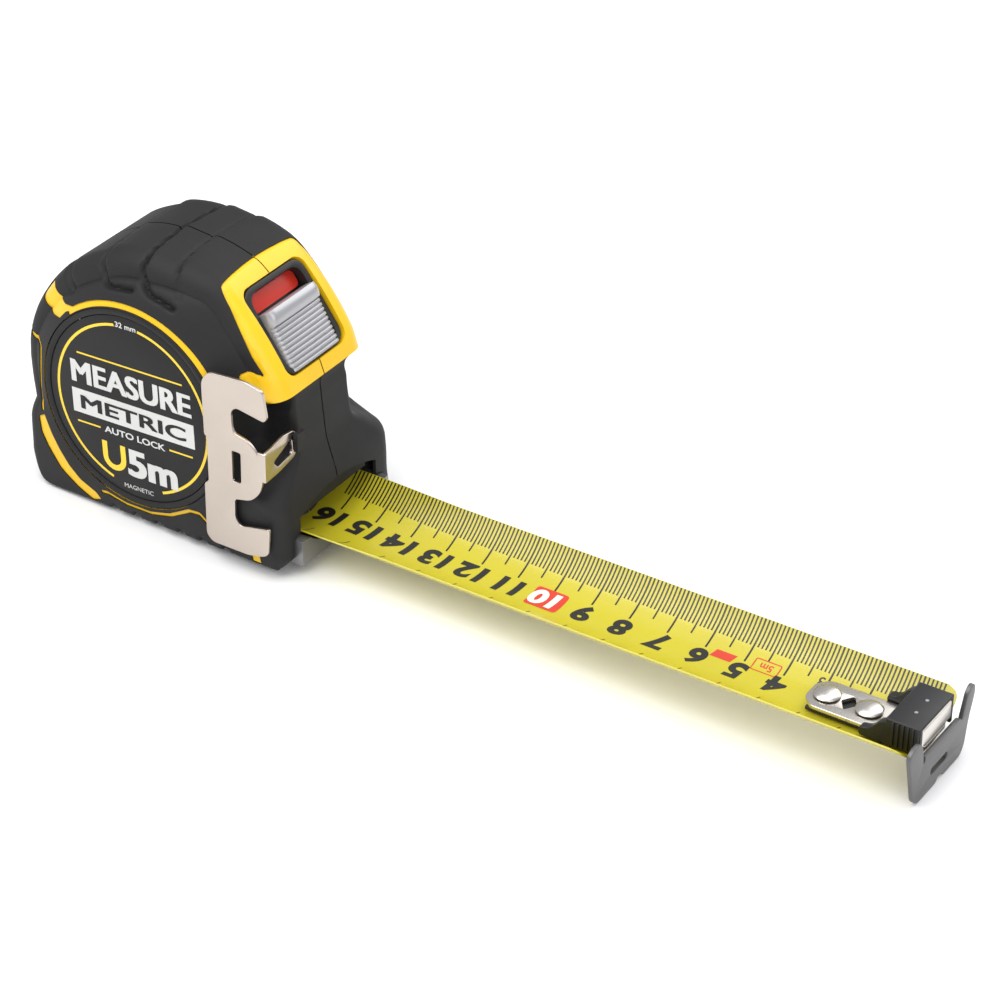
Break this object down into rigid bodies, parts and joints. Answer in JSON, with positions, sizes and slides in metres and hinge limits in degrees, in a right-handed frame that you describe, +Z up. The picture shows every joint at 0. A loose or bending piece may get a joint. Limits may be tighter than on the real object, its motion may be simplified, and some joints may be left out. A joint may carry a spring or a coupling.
{
  "type": "tape measure",
  "caption": "Pocket tape measure with thumb lock, magnetic end hook, release button and belt clip, blade partly out.",
  "frame": {"origin": "on the base of the case, under the reel axis, on the middle plane", "axes": "+X the way the blade comes out, +Z up, -Y the side with the belt clip"},
  "size_m": [0.2346, 0.0482, 0.0768],
  "materials": {
    "case_yellow": "moulded, satin",
    "rubber_armour": "fine matt texture",
    "label_print": "printed film",
    "blade_paint": "clear-coated print",
    "dark_plastic": "moulded",
    "plain_steel": "plain",
    "nickel": "satin nickel plate",
    "coated_steel": "dark coating",
    "silver_plastic": "silver paint",
    "red_plastic": "moulded"
  },
  "bodies": {
    "case": {"left_shell": "case_yellow", "right_shell": "case_yellow", "left_armour": "rubber_armour", "right_armour": "rubber_armour", "left_label": "label_print", "right_label": "label_print", "case_screw_1": "plain_steel", "case_screw_2": "plain_steel", "case_screw_3": "plain_steel", "case_screw_4": "plain_steel", "centre_post": "plain_steel", "power_spring": "plain_steel", "slider_frame": "dark_plastic", "lock_flag": "red_plastic", "hook_bumper": "rubber_armour", "brake_leaf_spring": "plain_steel", "button_spring_left": "plain_steel", "button_spring_right": "plain_steel", "clip_anchor": "dark_plastic"},
    "reel": {"reel_drum": "dark_plastic", "reel_cover": "dark_plastic", "blade_coil": "blade_paint"},
    "blade": {"blade_strip": "blade_paint", "hook_rivet_1": "nickel", "hook_rivet_2": "nickel"},
    "hook": {"hook_tongue": "nickel", "magnet_housing": "dark_plastic", "hook_magnet": "nickel", "hook_plate": "coated_steel"},
    "lock": {"lock_slider": "silver_plastic", "slider_carrier": "dark_plastic"},
    "brake": {"brake_pad": "dark_plastic"},
    "button": {"release_button": "silver_plastic"},
    "clip": {"belt_clip": "nickel"}
  },
  "joints": [
    {"name": "blade_pull", "type": "slide", "parent": "case", "child": "blade", "axis": [1, 0, 0], "range_m": [-0.148, 0], "deforming": ["blade_strip"]},
    {"name": "hook_float", "type": "slide", "parent": "blade", "child": "hook", "axis": [-1, 0, 0], "range_m": [0, 0.001]},
    {"name": "reel_spin", "type": "hinge", "parent": "case", "child": "reel", "pos_m": [0, 0, 0.0309], "axis": [0, -1, 0], "range_deg": [-370.7, 0]},
    {"name": "lock_slide", "type": "slide", "parent": "case", "child": "lock", "axis": [-0.5908, 0, 0.8068], "range_m": [0, 0.0045]},
    {"name": "brake_lift", "type": "slide", "parent": "case", "child": "brake", "axis": [0, 0, 1], "range_m": [0, 0.001]},
    {"name": "button_press", "type": "slide", "parent": "case", "child": "button", "axis": [-1, 0, 0], "range_m": [0, 0.002], "stiffness_N_per_m": 600},
    {"name": "clip_flex", "type": "hinge", "parent": "case", "child": "clip", "pos_m": [0.0392, -0.0124, 0.031], "axis": [0, 0, 1], "range_deg": [0, 7], "stiffness_Nm_per_rad": 4}
  ],
  "couplings": [
    {"joint": "reel_spin", "follows": "blade_pull", "rad_per_m": 43.478},
    {"joint": "brake_lift", "follows": "lock_slide", "ratio": 0.22}
  ]
}
